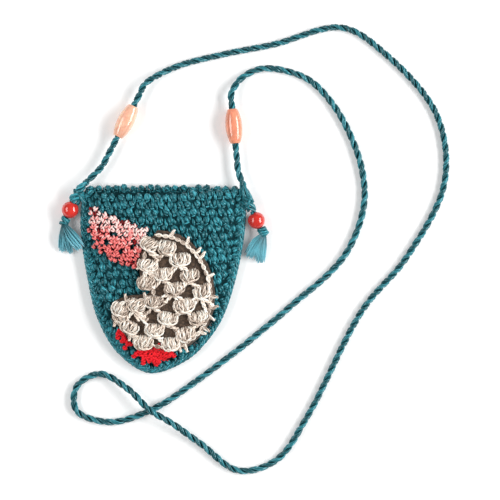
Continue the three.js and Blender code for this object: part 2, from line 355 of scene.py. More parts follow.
def mottled_material(name, texture, stops, surface, bump=None, invert=False):
    """A material with one pattern through it, which gives its colours, and its bumps where it has any"""
    material = new_material(name)
    tree = material.node_tree
    place = add_node(tree, "ShaderNodeTexCoord").outputs["Object"]
    kind, inputs, output = texture
    pattern = add_node(tree, kind, {"Vector": place, **inputs}).outputs[output]
    ramp = add_node(tree, "ShaderNodeValToRGB", {"Fac": pattern})
    set_ramp(ramp, stops)
    shader = add_node(tree, "ShaderNodeBsdfPrincipled", {"Base Color": ramp.outputs["Color"], **surface})
    if bump:
        relief = add_node(tree, "ShaderNodeBump", {"Height": pattern, **bump}, invert=invert)
        tree.links.new(relief.outputs["Normal"], shader.inputs["Normal"])
    add_node(tree, "ShaderNodeOutputMaterial", {"Surface": shader.outputs["BSDF"]})
    return material


def kept_material(make, name=None):
    """The material of that name, made the first time that it is asked for"""
    name = name or make.__name__
    return bpy.data.materials.get(name) or make(name)


def mercerised_cotton(name):
    """Mercerised cotton yarn: smooth and shiny, so each twist throws a small bluish highlight"""
    stops = tones(colours().teal, (0.05, 0.25), (0.35, 0.85), (0.55, 1.25), (0.75, 2.3))
    return yarn_material(name, stops, length=6 * MM, roughness=0.22, sheen=0.05, shine=linear("b0e4ec"))


def twisted_cotton(name):
    """The same yarn laid up in a cord: long strands, dark where they dive under each other, with painted
    shade between their plies
    """
    stops = tones(colours().teal, (0.1, 0.15), (0.4, 0.75), (0.6, 1.25), (0.8, 2.1))
    return yarn_material(name, stops, length=0.9, roughness=0.22, sheen=0.05, shine=linear("c4eef4"))


def combed_cotton(name):
    """Cotton ends combed loose: paler and duller than the twisted yarn, and palest at the cut"""
    stops = tones(colours().teal_ends, (0.16, 0.1), (0.38, 0.45), (0.6, 1.05))
    stops.append((0.8, shade(linear("8cd3e2"), 1)))
    return yarn_material(name, stops, length=15 * MM, roughness=0.45, sheen=0.06, plies=2, paling=0.55)


def soft_thread(name):
    """Soft two-ply cotton thread with a silky face: bright on its crests, with painted warm brown shade
    between its plies
    """
    # The brown stop is painted shade, for the grooves between the plies and the darkest lengths
    stops = tones(colours().brown, (0.16, 2.4))
    stops += tones(colours().beige, (0.36, 0.72), (0.5, 1.2), (0.68, 1.6))
    return yarn_material(name, stops, length=9 * MM, roughness=0.36, sheen=0.15, plies=2)


def red_thread(name):
    """Fine red cotton thread, matt"""
    stops = tones(colours().red, (0.05, 0.65), (0.35, 1.0), (0.8, 1.1))
    shine = linear("ff9a90")
    return yarn_material(name, stops, length=3 * MM, roughness=0.75, sheen=0.0, plies=2, shine=shine)


def deep_thread(name):
    """The lace thread where it lies deep between the stitches, painted a dark red as the shade that falls
    there
    """
    stops = tones(colours().red, (0.1, 0.18), (0.5, 0.38), (0.8, 0.65))
    shine = linear("ffd0cc")
    return yarn_material(name, stops, length=3 * MM, roughness=0.6, sheen=0.05, plies=2, shine=shine)


def shaded_thread(name):
    """Space-dyed thread: pale pink at the upper edge of the lace, coral at the lower one, with painted dark
    coral shade between its plies
    """
    stops = tones(colours().pale_pink, (0.42, 1.1))
    stops += tones(colours().coral, (0.56, 1.6), (0.7, 1.2), (0.92, 0.6))
    material = yarn_material(name, stops, length=3 * MM, roughness=0.4, sheen=0.15, plies=2)
    tree = material.node_tree
    place = add_node(tree, "ShaderNodeTexCoord").outputs["Object"]
    down = add_node(tree, "ShaderNodeVectorMath", {0: place, 1: (-20.0, -52.0, 0.0)}, operation="DOT_PRODUCT")
    height = add_node(tree, "ShaderNodeMath", {0: down.outputs["Value"], 1: 1.16}, operation="ADD")
    ramp = next(n for n in tree.nodes if n.bl_idname == "ShaderNodeValToRGB")
    tone = ramp.inputs["Fac"].links[0].from_socket
    # Painted shade: low tones, such as the grooves between the plies, turn the colour towards dark coral
    shadow = add_node(tree, "ShaderNodeMath", {0: 1.0, 1: tone}, operation="SUBTRACT")
    mixed = add_node(tree, "ShaderNodeMix", {"Factor": 0.55, "A": height.outputs[0], "B": shadow.outputs[0]})
    tree.links.new(mixed.outputs["Result"], ramp.inputs["Fac"])
    return material


def ground_cotton(name):
    """The inside of the crochet between the stitches, and the cores of the cord and the seam chain: the same
    yarn, painted dark as the shade there
    """
    lumps = ("ShaderNodeTexVoronoi", {"Scale": 1 / (3.6 * MM)}, "Distance")
    # Painted shade: the teal darkened well below the yarn's own colour
    stops = tones(colours().teal, (0.1, 0.4), (0.6, 0.15))
    surface = {"Roughness": 0.9, "Specular IOR Level": 0.05}
    return mottled_material(name, lumps, stops, surface, {"Strength": 0.8, "Distance": 1 * MM}, invert=True)


def brown_felt(name):
    """Thin wool felt: matt and mottled, with short matted fibres"""
    fibres = ("ShaderNodeTexNoise", {"Scale": 1 / (1.1 * MM), "Detail": 4.0}, "Fac")
    stops = tones(colours().brown, (0.3, 0.4), (0.5, 0.9), (0.72, 2))
    surface = {"Roughness": 0.9, "Sheen Weight": 0.2}
    return mottled_material(name, fibres, stops, surface, {"Strength": 0.7, "Distance": 0.4 * MM})


def clouded_resin(name):
    """Polished cast resin: pale clouds drift through the coral colour under a clear gloss"""
    clouds = ("ShaderNodeTexNoise", {"Scale": 1 / (7 * MM), "Detail": 3.0, "Distortion": 1.5}, "Fac")
    stops = tones(getattr(colours(), name), (0.3, 0.82), (0.5, 1.0), (0.7, 1.3))
    surface = {
        "Roughness": 0.16,
        "IOR": 1.55,
        "Subsurface Weight": 0.35,
        "Subsurface Radius": (1.0, 0.45, 0.3),
        "Subsurface Scale": 1.2 * MM,
        "Coat Weight": 0.6,
        "Coat Roughness": 0.05,
        "Sheen Weight": 0.7,
        "Sheen Roughness": 0.4,
        "Sheen Tint": (*linear("fff3dc"), 1),
    }
    return mottled_material(name, clouds, stops, surface)


def red_glass(name):
    """Opaque pressed glass: an even orange-red with a hard gloss"""
    streaks = ("ShaderNodeTexNoise", {"Scale": 1 / (3 * MM), "Detail": 2.0}, "Fac")
    stops = tones(colours().bead, (0.35, 0.85), (0.65, 1.1))
    surface = {
        "Roughness": 0.1,
        "IOR": 1.52,
        "Subsurface Weight": 0.15,
        "Subsurface Radius": (1.0, 0.2, 0.1),
        "Subsurface Scale": 0.8 * MM,
        "Coat Weight": 0.5,
        "Coat Roughness": 0.03,
    }
    return mottled_material(name, streaks, stops, surface)


def table_paper(name):
    """Matt white paper under the pouch, lifted to white where it is seen and left to shade where it lights"""
    material = new_material(name)
    tree = material.node_tree
    path = add_node(tree, "ShaderNodeLightPath")
    seen = add_node(
        tree,
        "ShaderNodeMath",
        {0: path.outputs["Is Camera Ray"], 1: path.outputs["Is Glossy Ray"]},
        operation="ADD",
    )
    shown = add_node(
        tree,
        "ShaderNodeMath",
        {0: seen.outputs[0], 1: path.outputs["Is Transmission Ray"]},
        operation="MAXIMUM",
    )
    glow = add_node(tree, "ShaderNodeMath", {0: shown.outputs[0], 1: 0.07}, operation="MULTIPLY")
    shader = add_node(
        tree,
        "ShaderNodeBsdfPrincipled",
        {
            "Base Color": (0.97, 0.97, 0.97, 1),
            "Roughness": 0.9,
            "Emission Color": (1, 1, 1, 1),
            "Emission Strength": glow.outputs[0],
        },
    )
    add_node(tree, "ShaderNodeOutputMaterial", {"Surface": shader.outputs["BSDF"]})
    return material


# Shaping helpers


def finish_piece(mesh, name, material, nodes, body="pouch"):
    """Puts a mesh in the scene as a piece that rides on a body and stands for CAD nodes"""
    mesh.name = name
    mesh.materials.clear()
    mesh.materials.append(material)
    mesh.shade_smooth()
    piece = bpy.data.objects.new(name, mesh)
    bpy.context.scene.collection.objects.link(piece)
    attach(piece, body)
    if nodes:
        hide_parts(*nodes)
    return piece


def yarn_section(plies, groove):
    """A closed outline for a bevel: one rounded lobe for each ply, with grooves between"""
    outline = bpy.data.curves.new("yarn_section", "CURVE")
    outline.dimensions = "2D"
    spline = outline.splines.new("POLY")
    corners = plies * 3
    spline.points.add(corners - 1)
    for i, point in enumerate(spline.points):
        angle = FULL_TURN * i / corners
        radius = groove if i % 3 == 0 else 1
        point.co = (radius * math.cos(angle), radius * math.sin(angle), 0, 1)
    spline.use_cyclic_u = True
    return bpy.data.objects.new("yarn_section", outline)


def yarn_mesh(strands, plies=3, groove=0.7, steps=3):
    """A mesh of many lengths of plied yarn, each swept along its curve; steps 0 keeps straight lines"""
    section = yarn_section(plies, groove)
    curve = bpy.data.curves.new("yarn", "CURVE")
    curve.dimensions = "3D"
    curve.bevel_mode = "OBJECT"
    curve.bevel_object = section
    curve.use_fill_caps = True
    for strand in strands:
        spline = curve.splines.new("BEZIER" if steps else "POLY")
        points = spline.bezier_points if steps else spline.points
        points.add(len(strand.points) - 1)
        for point, place, radius, twist in zip(points, *strand):
            point.co = place if steps else (*place, 1)
            point.radius = radius
            point.tilt = twist
            if steps:
                point.handle_left_type = point.handle_right_type = "AUTO"
        spline.resolution_u = max(steps, 1)
    holder = bpy.data.objects.new("yarn", curve)
    links = bpy.context.scene.collection.objects
    links.link(section)
    links.link(holder)
    mesh = bpy.data.meshes.new_from_object(holder.evaluated_get(bpy.context.evaluated_depsgraph_get()))
    for used in (holder, section):
        data = used.data
        bpy.data.objects.remove(used)
        bpy.data.curves.remove(data)
    close_mesh(mesh)
    return mesh


def close_mesh(mesh):
    """Merges the doubled points of the end caps and turns the faces outwards"""
    work = bmesh.new()
    work.from_mesh(mesh)
    bmesh.ops.remove_doubles(work, verts=work.verts, dist=1e-7)
    bmesh.ops.recalc_face_normals(work, faces=work.faces)
    work.to_mesh(mesh)
    work.free()


def surface_of(*nodes):
    """A search tree over CAD nodes, to set pieces on their faces"""
    work = bmesh.new()
    for node in nodes:
        work.from_mesh(frame["nodes"][node].data)
    tree = BVHTree.FromBMesh(work)
    work.free()
    return tree


def drop(tree, x, y, way=DOWN):
    """Where a line from above (or below) first meets a surface, and the way it faces there"""
    place, facing, _, _ = tree.ray_cast(Vector((x, y, -way.z)), way)
    return place, facing


def even_steps(points, step):
    """Points at even steps along a line of points"""
    lengths = [0]
    for a, b in zip(points, points[1:]):
        lengths.append(lengths[-1] + (b - a).length)
    count = max(2, round(lengths[-1] / step))
    spaced = []
    at = 0
    for i in range(count + 1):
        goal = lengths[-1] * i / count
        while at < len(points) - 2 and lengths[at + 1] < goal:
            at += 1
        share = (goal - lengths[at]) / max(lengths[at + 1] - lengths[at], 1e-12)
        spaced.append(points[at].lerp(points[at + 1], share))
    return spaced


def smooth_route(points, step):
    """Even steps along the smooth line through a route's points, kept from swinging wide between them"""
    guides = [2 * points[0] - points[1], *points, 2 * points[-1] - points[-2]]
    line = []
    for before, start, end, after in zip(guides, guides[1:], guides[2:], guides[3:]):
        pairs = ((before, start), (start, end), (end, after))
        first, middle, last = ((b - a).length ** 0.5 for a, b in pairs)
        leave = (start - before) / first - (end - before) / (first + middle) + (end - start) / middle
        arrive = (end - start) / middle - (after - start) / (middle + last) + (after - end) / last
        reach = middle / 3
        line += interpolate_bezier(start, start + leave * reach, end - arrive * reach, end, 30)[:-1]
    line.append(points[-1])
    return even_steps(line, step)


def headings(line):
    """The way a line runs at each of its points"""
    return [(b - a).normalized() for a, b in zip([line[0], *line[:-1]], [*line[1:], line[-1]])]


def plain_strand(line, radius):
    """A length of yarn of one thickness along a line"""
    return Strand(line, [radius] * len(line), [0] * len(line))


def wound_strands(line, count, steps, reach, radius, twist=0):
    """Strands that wind round a line, once round in a number of its steps"""
    strands = []
    for strand in range(count):
        points = []
        for i, (place, ahead) in enumerate(zip(line, headings(line))):
            side = ahead.cross(UP).normalized()
            angle = FULL_TURN * (i / steps + strand / count)
            points.append(place + (side * math.cos(angle) + side.cross(ahead) * math.sin(angle)) * reach)
        strands.append(Strand(points, [radius] * len(points), [i * twist for i in range(len(points))]))
    return strands


def tapered(points, radius, ends, turn, step=1):
    """A length of yarn through three points, thinner at both ends"""
    return Strand(points, [radius * ends, radius, radius * ends], [turn, turn + step, turn + step * 2])


def laid_on(way, out):
    """A direction turned to lie in a surface that faces out"""
    return (way - out * way.dot(out)).normalized()


# Crochet


def stitch(place, along, up, out, lean, top, chance, scale=1.0, loose=1.0):
    """One crochet stitch: a knob of two slanting lengths of yarn, with thin lengths beside it and below it"""
    width, height = sizes().stitch_width * scale, sizes().stitch_height * scale
    thick = sizes().yarn / 2 * scale
    turned = Matrix.Rotation(chance.uniform(-0.5, 0.5) * loose - lean, 3, out)
    ahead = turned @ along
    beside = turned @ up
    middle = place + along * chance.uniform(-0.5, 0.5) * MM + up * chance.uniform(-0.5, 0.5) * MM
    middle += out * (top - thick + chance.uniform(-0.5, 0.2) * MM)
    reach = ahead * 0.33 * width * chance.uniform(0.85, 1.1)
    sunk = out * 1.3 * MM
    strands = []
    for hand in (-1, 1):
        bow = beside * hand * 0.15 * height - out * chance.uniform(0, 0.4) * MM
        size = thick * chance.uniform(0.85, 1.1)
        points = [middle - reach + bow * 0.5 - sunk, middle + bow, middle + reach + bow * 0.5 - sunk]
        turn = chance.uniform(0, FULL_TURN)
        strands.append(tapered(points, size, 0.65, turn, 1.4))
    foot = middle - along * 0.5 * width - up * 0.3 * height - out * 0.45 * MM
    leg = (along * -0.1 * width + up * 0.42 * height) * chance.uniform(0.85, 1.1)
    sole = middle - up * 0.52 * height - out * 0.8 * MM
    toe = (along * 0.3 * width + up * chance.uniform(-0.3, 0.3) * height) * chance.uniform(0.8, 1.1)
    for spot, way, size in ((foot, leg, 0.66), (sole, toe, 0.62)):
        points = [spot - way - out * 0.5 * MM, spot, spot + way - out * 0.5 * MM]
        turn = chance.uniform(0, FULL_TURN)
        strands.append(tapered(points, thick * size, 0.7, turn))
    return strands


def row_points(tree, y, way):
    """A row's line across a panel, as even steps of one stitch width"""
    hits = [drop(tree, x * 0.25 * MM, y, way)[0] for x in range(-160, 161)]
    line = [hit for hit in hits if hit]
    return even_steps(line, sizes().stitch_width) if len(line) > 24 else []


def panel_stitches(tree, chance, top_y, low_y, way, top, skip=None):
    """Rows of stitches over a panel, staggered from row to row"""
    strands = []
    rows = round((top_y - low_y) / sizes().stitch_height)
    for row in range(rows + 1):
        y = top_y + (low_y - top_y) * row / rows
        line = row_points(tree, y, way)
        lean, stagger = (0.85, 0.25) if row % 2 else (0.7, 0.75)
        for a, b in zip(line, line[1:]):
            middle = a.lerp(b, stagger)
            rise = min(1, max(0, (middle.x - 6 * MM) / (10 * MM)))
            middle.y += rise * max(0, 0.9 - 0.3 * row) * MM
            if skip and drop(skip, middle.x, middle.y)[0]:
                continue
            place, out = drop(tree, middle.x, middle.y, way)
            if place is None:
                continue
            along = laid_on((b - a).normalized(), out)
            up = out.cross(along) if way == DOWN else along.cross(out)
            strands += stitch(place, along, up, out, lean, top, chance)
    return strands


def cloth_mesh(node, depth, thickness, top_y=1.0, facing=1):
    """A thin cloth that follows one face of a CAD node, sunk below it by a depth"""
    work = bmesh.new()
    work.from_mesh(frame["nodes"][node].data)
    bmesh.ops.remove_doubles(work, verts=work.verts, dist=1e-6)
    work.normal_update()
    other = [f for f in work.faces if f.normal.z * facing < 0.05]
    bmesh.ops.delete(work, geom=other, context="FACES")
    bmesh.ops.translate(work, verts=work.verts, vec=(0, 0, -depth * facing))
    everything = work.verts[:] + work.edges[:] + work.faces[:]
    top, way = (0, top_y, 0), (0, 1, 0)
    bmesh.ops.bisect_plane(work, geom=everything, plane_co=top, plane_no=way, clear_outer=True)
    bmesh.ops.solidify(work, geom=work.faces[:], thickness=thickness)
    bmesh.ops.recalc_face_normals(work, faces=work.faces)
    mesh = bpy.data.meshes.new(node)
    work.to_mesh(mesh)
    work.free()
    return mesh


class LACEPOUCH_OT_stage(bpy.types.Operator):
    """Camera straight above the pouch, a white table and two large soft lamps"""

    bl_idname = "lacepouch.stage"
    bl_label = "Stage"

    def execute(self, context):
        scene = context.scene
        scene.view_settings.view_transform = "Standard"
        self.add_camera(scene)
        self.add_table(scene)
        self.add_lamp(scene, "right_softbox", (0.84, 0.06, 0.56), 13)
        self.add_lamp(scene, "left_softbox", (-0.74, 0.06, 0.7), 7)
        self.set_world(scene)
        return {"FINISHED"}

    def add_camera(self, scene):
        camera = bpy.data.cameras.new("camera")
        height = 1.2
        view_width = 235 * MM
        camera.lens = camera.sensor_width * height / view_width
        holder = bpy.data.objects.new("camera", camera)
        holder.location = (40.7 * MM, 14.1 * MM, height + 4 * MM)
        scene.collection.objects.link(holder)
        scene.camera = holder

    def add_table(self, scene):
        work = bmesh.new()
        bmesh.ops.create_grid(work, x_segments=2, y_segments=2, size=3)
        mesh = bpy.data.meshes.new("table")
        work.to_mesh(mesh)
        work.free()
        mesh.materials.append(kept_material(table_paper, "white_paper"))
        table = bpy.data.objects.new("table", mesh)
        scene.collection.objects.link(table)

    def add_lamp(self, scene, name, place, power):
        lamp = bpy.data.lights.new(name, "AREA")
        lamp.shape = "RECTANGLE"
        lamp.size = 1.0
        lamp.size_y = 0.42
        lamp.energy = power
        holder = bpy.data.objects.new(name, lamp)
        holder.location = place
        aim = Vector((20 * MM, 10 * MM, 0)) - holder.location
        holder.rotation_euler = aim.to_track_quat("-Z", "Y").to_euler()
        scene.collection.objects.link(holder)

    def set_world(self, scene):
        world = bpy.data.worlds.new("studio")
        world.use_nodes = True
        tree = world.node_tree
        tree.nodes.clear()
        light = add_node(tree, "ShaderNodeBackground", {"Color": (1, 1, 1, 1), "Strength": 0.26})
        add_node(tree, "ShaderNodeOutputWorld", {"Surface": light.outputs["Background"]})
        scene.world = world


class LACEPOUCH_OT_neck_cord(bpy.types.Operator):
    """Twisted cord of two doubled strands along its route, with a slight hump where it crosses itself"""

    bl_idname = "lacepouch.neck_cord"
    bl_label = "Neck cord"

    def execute(self, context):
        route = smooth_route([millimetres(*p) for p in CORD_ROUTE], CORD_STEP)
        cord = sizes().cord
        mesh = yarn_mesh(self.twist(route, cord / 2), steps=0)
        laid = kept_material(twisted_cotton)
        piece = finish_piece(mesh, "twisted_neck_cord", laid, ["neck_cord"])
        # A dark core strand inside the twist: painted shade seen where the strands part
        core = yarn_mesh([plain_strand(route, cord * 0.21)], groove=1, steps=0)
        ground = kept_material(ground_cotton)
        inside = finish_piece(core, "neck_cord_core", ground, ["neck_cord"])
        return {"FINISHED"}

    def twist(self, route, radius):
        """Two doubled strands laid round each other, so the cord swells and narrows along its length"""
        strands = []
        turns = [i * CORD_STEP / sizes().cord_pitch * FULL_TURN for i in range(len(route))]
        for apart, across in ((1, 1), (1, -1), (-1, 1), (-1, -1)):
            points = []
            for place, ahead, turn in zip(route, headings(route), turns):
                side = UP.cross(ahead).normalized()
                over = ahead.cross(side)
                leg = side * math.cos(turn) + over * math.sin(turn)
                points.append(place + (leg * apart * 0.58 + leg.cross(ahead) * across * 0.26) * radius)
            strands.append(Strand(points, [radius * 0.43] * len(points), [t * 1.5 for t in turns]))
        return strands


class LACEPOUCH_OT_panels(bpy.types.Operator):
    """Front and back of the pouch: rows of crochet stitches over a ground cloth painted dark as the shade
    between them
    """

    bl_idname = "lacepouch.panels"
    bl_label = "Panels"

    def execute(self, context):
        chance = random.Random(11)
        cotton = kept_material(mercerised_cotton)
        ground = kept_material(ground_cotton)
        lace = surface_of("lace_backing")
        front = surface_of("front_panel")
        back = surface_of("back_panel")
        front_rows = panel_stitches(
            front, chance, top_y=39.2 * MM, low_y=-37.5 * MM, way=DOWN, top=0.55 * MM, skip=lace
        )
        back_rows = panel_stitches(back, chance, top_y=42 * MM, low_y=-38.5 * MM, way=UP, top=-0.2 * MM)
        back_rows += self.rim(chance)
        front_stitches = finish_piece(yarn_mesh(front_rows), "front_stitches", cotton, [])
        back_stitches = finish_piece(yarn_mesh(back_rows), "back_stitches", cotton, [])
        # The ground cloths under the stitches are painted dark, as the shade in the gaps between the stitches
        front_mesh = cloth_mesh("front_panel", depth=1.3 * MM, thickness=0.7 * MM, top_y=41 * MM)
        back_mesh = cloth_mesh(
            "back_panel", depth=1.1 * MM, thickness=0.9 * MM, top_y=42.2 * MM, facing=-1
        )
        front_cloth = finish_piece(front_mesh, "front_ground", ground, ["front_panel"])
        back_cloth = finish_piece(back_mesh, "back_ground", ground, ["back_panel"])
        return {"FINISHED"}

    def rim(self, chance):
        """One row of stitches along the back's rim, which stands beyond the front's"""
        strands = []
        guide = [(-36.4, 42.4), (-31, 43.3), (-10, 43.4), (11, 43.2), (17, 41.7), (36, 41.5)]
        line = smooth_route([millimetres(x, y, 2.2) for x, y in guide], sizes().stitch_width * 0.92)
        for a, b in zip(line, line[1:]):
            middle = a.lerp(b, 0.5)
            strands += stitch(middle, *ROW_AXES, lean=0.6, top=2.6 * MM, chance=chance, scale=0.85, loose=0.4)
        return strands


class LACEPOUCH_OT_seam(bpy.types.Operator):
    """Crocheted edging round the pouch: a chain and small stitches on top, and posts down to the back"""

    bl_idname = "lacepouch.seam"
    bl_label = "Side seam"

    def execute(self, context):
        chance = random.Random(23)
        edge = smooth_route([millimetres(x, y, 0) for x, y in SEAM_EDGE], SEAM_STEP)
        front = surface_of("front_panel")
        line = []
        strands = []
        for i, (place, ahead) in enumerate(zip(edge, headings(edge))):
            out = ahead.cross(UP)
            middle = place - out * 1.7 * MM
            if place.y < SEAM_TOP:
                line.append(middle)
                if i % 2 == 0:
                    strands.append(self.post(middle, ahead, out, chance))
                if i % 4 == 0:
                    knob = middle - out * 0.3 * MM + UP * 3.6 * MM
                    strands += stitch(knob, -ahead, out, UP, 0.7, 1.75 * MM, chance, 0.72, 0.6)
            if i % 4 == 2:
                strands += self.inner_stitch(front, place, ahead, out, chance)
        cotton = kept_material(mercerised_cotton)
        laid = kept_material(twisted_cotton)
        ground = kept_material(ground_cotton)
        finish_piece(yarn_mesh(strands), "seam_edging", cotton, ["side_seam"])
        crest = [place + UP * 3.4 * MM for place in line]
        chain = wound_strands(crest, count=3, steps=8, reach=0.74 * MM, radius=0.78 * MM, twist=0.4)
        finish_piece(yarn_mesh(chain, steps=0), "seam_chain", laid, ["side_seam"])
        # A dark core under the chain: painted shade seen between its strands
        core = plain_strand([place + UP * 2.5 * MM for place in line], 1.3 * MM)
        core_mesh = yarn_mesh([core], groove=1, steps=0)
        finish_piece(core_mesh, "seam_core", ground, [])
        return {"FINISHED"}

    def inner_stitch(self, front, place, ahead, out, chance):
        """A stitch that draws the front's edge to the seam"""
        spot = place - out * 4.3 * MM
        hit, _ = drop(front, spot.x, spot.y)
        if hit is None:
            return []
        middle = place - out * 3.9 * MM
        middle.z = hit.z
        return stitch(middle, ahead, -out, UP, 0.5, 0.5 * MM, chance, loose=0.6)

    def post(self, middle, ahead, out, chance):
        """A length of yarn that goes down the outside of the edge"""
        thick = 0.9 * MM * chance.uniform(0.93, 1.06)
        points = [
            middle - ahead * 0.8 * MM + out * 0.2 * MM + UP * 3.6 * MM,
            middle + out * 0.55 * MM + UP * 2.3 * MM,
            middle + ahead * 0.8 * MM - out * 0.2 * MM + UP * 0.85 * MM,
        ]
        turn = chance.uniform(0, FULL_TURN)
        return Strand(points, [thick * 0.7, thick, thick * 0.8], [turn, turn + 1, turn + 2])


class LACEPOUCH_OT_backing(bpy.types.Operator):
    """Brown felt sewn to the front under the bobble lace"""

    bl_idname = "lacepouch.backing"
    bl_label = "Lace backing"

    def execute(self, context):
        mesh = cloth_mesh("lace_backing", depth=0, thickness=0.5 * MM)
        felt = finish_piece(mesh, "felt_backing", kept_material(brown_felt), ["lace_backing"])
        return {"FINISHED"}


class LACEPOUCH_OT_bobble_lace(bpy.types.Operator):
    """Beige lace: shells of bundled threads, joined by twisted links, with picots at the edge"""

    bl_idname = "lacepouch.bobble_lace"
    bl_label = "Bobble lace"

    def execute(self, context):
        chance = random.Random(37)
        felt = surface_of("lace_backing")
        strands = []
        for x, y, turn in BOBBLES:
            strands += self.bobble(felt, x * MM, y * MM, math.radians(turn + chance.uniform(-9, 9)), chance)
        strands += self.links(felt, chance)
        strands += self.border(felt, chance)
        thread = kept_material(soft_thread)
        mesh = yarn_mesh(strands, plies=2, groove=0.72, steps=3)
        finish_piece(mesh, "bobble_threads", thread, ["bobble_lace"])
        return {"FINISHED"}

    def bobble(self, felt, x, y, turn, chance):
        """Threads drawn down side by side from a straight top edge, and gathered at the foot"""
        place, out = drop(felt, x, y)
        along = laid_on(Vector((math.cos(turn), math.sin(turn), 0)), out)
        up = out.cross(along)
        half = 4.25 * MM * chance.uniform(0.86, 1.1)
        reach = 2.85 * MM * chance.uniform(0.9, 1.1)
        count = chance.choice((7, 8, 8))
        slant = chance.uniform(-0.25, 0.25)
        rise = up + along * slant
        strands = []
        for layer, sunk in ((0, 0), (0.5, 0.6 * MM)):
            root = place - out * sunk
            for i in range(count):
                share = (i + 0.5 + layer) / count * 2 - 1
                if share < 1:
                    strands.append(self.bobble_thread(root, along, rise, out, half, reach, share, chance))
        for hand in (-1, 1):
            strands.append(self.collar(place, along * hand, up, out, half, reach, chance))
        return strands

    def collar(self, place, aside, up, out, half, reach, chance):
        """A thread from a bobble's top corner round its side to the foot, and across it"""
        points = [
            place + aside * half * 0.9 + up * reach * 0.75 + out * 0.9 * MM,
            place + aside * half * 1.04 + up * reach * 0.1 + out * 0.8 * MM,
            place + aside * half * 0.85 - up * reach * 0.75 + out * 1.3 * MM,
            place + aside * half * 0.1 - up * reach * 1.05 + out * 2.0 * MM,
            place - aside * half * 0.5 - up * reach * 0.7 + out * 2.0 * MM,
        ]
        size = sizes().thread / 2 * chance.uniform(1.0, 1.25)
        spin = chance.uniform(0, FULL_TURN)
        return Strand(points, [size, size * 1.1, size, size, size * 0.8], [spin + k * 2.4 for k in range(5)])

    def bobble_thread(self, place, along, up, out, half, reach, share, chance):
        """One thread of a bobble, further from its middle the larger its share is"""
        arch = math.sqrt(1 - 0.72 * share * share)
        aside = along * half * share
        foot = 1.15 - 0.5 * share * share
        points = [
            place + aside * 0.9 + up * reach * (0.8 + 0.2 * arch) + out * 0.3 * MM,
            place + aside + up * reach * 0.55 + out * (0.6 + 1.4 * arch) * MM,
            place + aside * 0.98 - up * reach * 0.05 + out * (0.5 + 2.0 * arch) * MM,
            place + aside * 0.76 - up * reach * 0.6 * foot + out * (0.5 + 1.3 * arch) * MM,
            place + aside * 0.34 - up * reach * foot + out * 0.4 * MM,
        ]
        for point in points:
            point += (along * chance.uniform(-0.55, 0.55) + out * chance.uniform(-0.3, 0.3)) * MM
        size = sizes().thread / 2 * chance.uniform(0.85, 1.15)
        spin = chance.uniform(0, FULL_TURN)
        radii = [size * 0.8, size, size * 1.05, size, size * 0.8]
        return Strand(points, radii, [spin + k * 2.1 for k in range(5)])

    def links(self, felt, chance):
        """Twisted links from each bobble's top corners to the feet of the bobbles above it"""
        strands = []
        for x, y, _ in BOBBLES:
            above = [b for b in BOBBLES if 2.5 < b[1] - y < 12.5 and abs(b[0] - x) < 12]
            for hand in (-1, 1):
                side = [b for b in above if hand * (b[0] - x) > 0.5]
                near = min(side, key=lambda b: math.dist(b[:2], (x, y)), default=None)
                if near:
                    strands += self.link(felt, (x + hand * 3.8, y + 2.6), (near[0], near[1] - 3.2), chance)
                strands += self.link(felt, (x + hand * 1.2, y - 3.4), (x + hand * 4.6, y - 6.4), chance)
        return strands

    def link(self, felt, start, end, chance):
        """Two threads wound round each other, with a small knot at the end"""
        line = []
        for share in (-0.05, 0.3, 0.65, 1.05):
            x = (start[0] + (end[0] - start[0]) * share + chance.uniform(-0.35, 0.35)) * MM
            y = (start[1] + (end[1] - start[1]) * share + chance.uniform(-0.35, 0.35)) * MM
            place, out = drop(felt, x, y)
            if place is None:
                return []
            line.append(place + out * chance.uniform(0.5, 1.1) * MM)
        radius = sizes().thread * 0.58
        route = smooth_route(line, 0.9 * MM)
        strands = wound_strands(route, count=2, steps=4, reach=radius * 0.75, radius=radius)
        last = line[-1]
        across = Vector((chance.uniform(-1, 1), chance.uniform(-1, 1), 0)).normalized() * 0.9 * MM
        knot_points = [last - across, last + UP * 0.6 * MM, last + across]
        strands.append(Strand(knot_points, [radius, radius * 1.7, radius], [0, 1, 2]))
        return strands

    def border(self, felt, chance):
        """A chain along the lace's edges, with a picot every few stitches on the outer one"""
        outer = smooth_route([millimetres(x, y, 0) for x, y in LACE_OUTER], 3.1 * MM)
        inner = smooth_route([millimetres(x, y, 0) for x, y in LACE_INNER], 3.1 * MM)
        strands = []
        for line, hand in ((outer, 1), (inner, -1)):
            for i, (a, b) in enumerate(zip(line, line[1:])):
                out = (b - a).cross(UP).normalized() * -hand
                inset = out * -1.4 * MM
                strands += self.chain_stitch(felt, a + inset, b + inset, chance)
                over_red = -14 * MM < a.x < 6 * MM and a.y < -26 * MM
                if (i % 3 == 2 or chance.random() < 0.12) and not over_red:
                    strands += self.picot(felt, a + inset, out, chance)
        return strands

    def chain_stitch(self, felt, a, b, chance):
        """Two threads that cross in one link of a chain"""
        ahead = b - a
        beside = UP.cross(ahead).normalized()
        strands = []
        for hand in (-1, 1):
            points = []
            for share, swing in ((-0.12, -0.2), (0.5, 0.55), (1.12, -0.2)):
                spot = a + ahead * share + beside * swing * hand * MM
                place, out = drop(felt, spot.x, spot.y)
                if place is None:
                    return strands
                points.append(place + out * (1.3 if share == 0.5 else 0.8) * MM)
            radius = sizes().thread * 0.46 * chance.uniform(0.9, 1.1)
            strands.append(tapered(points, radius, 0.8, 0, 1.5))
        return strands

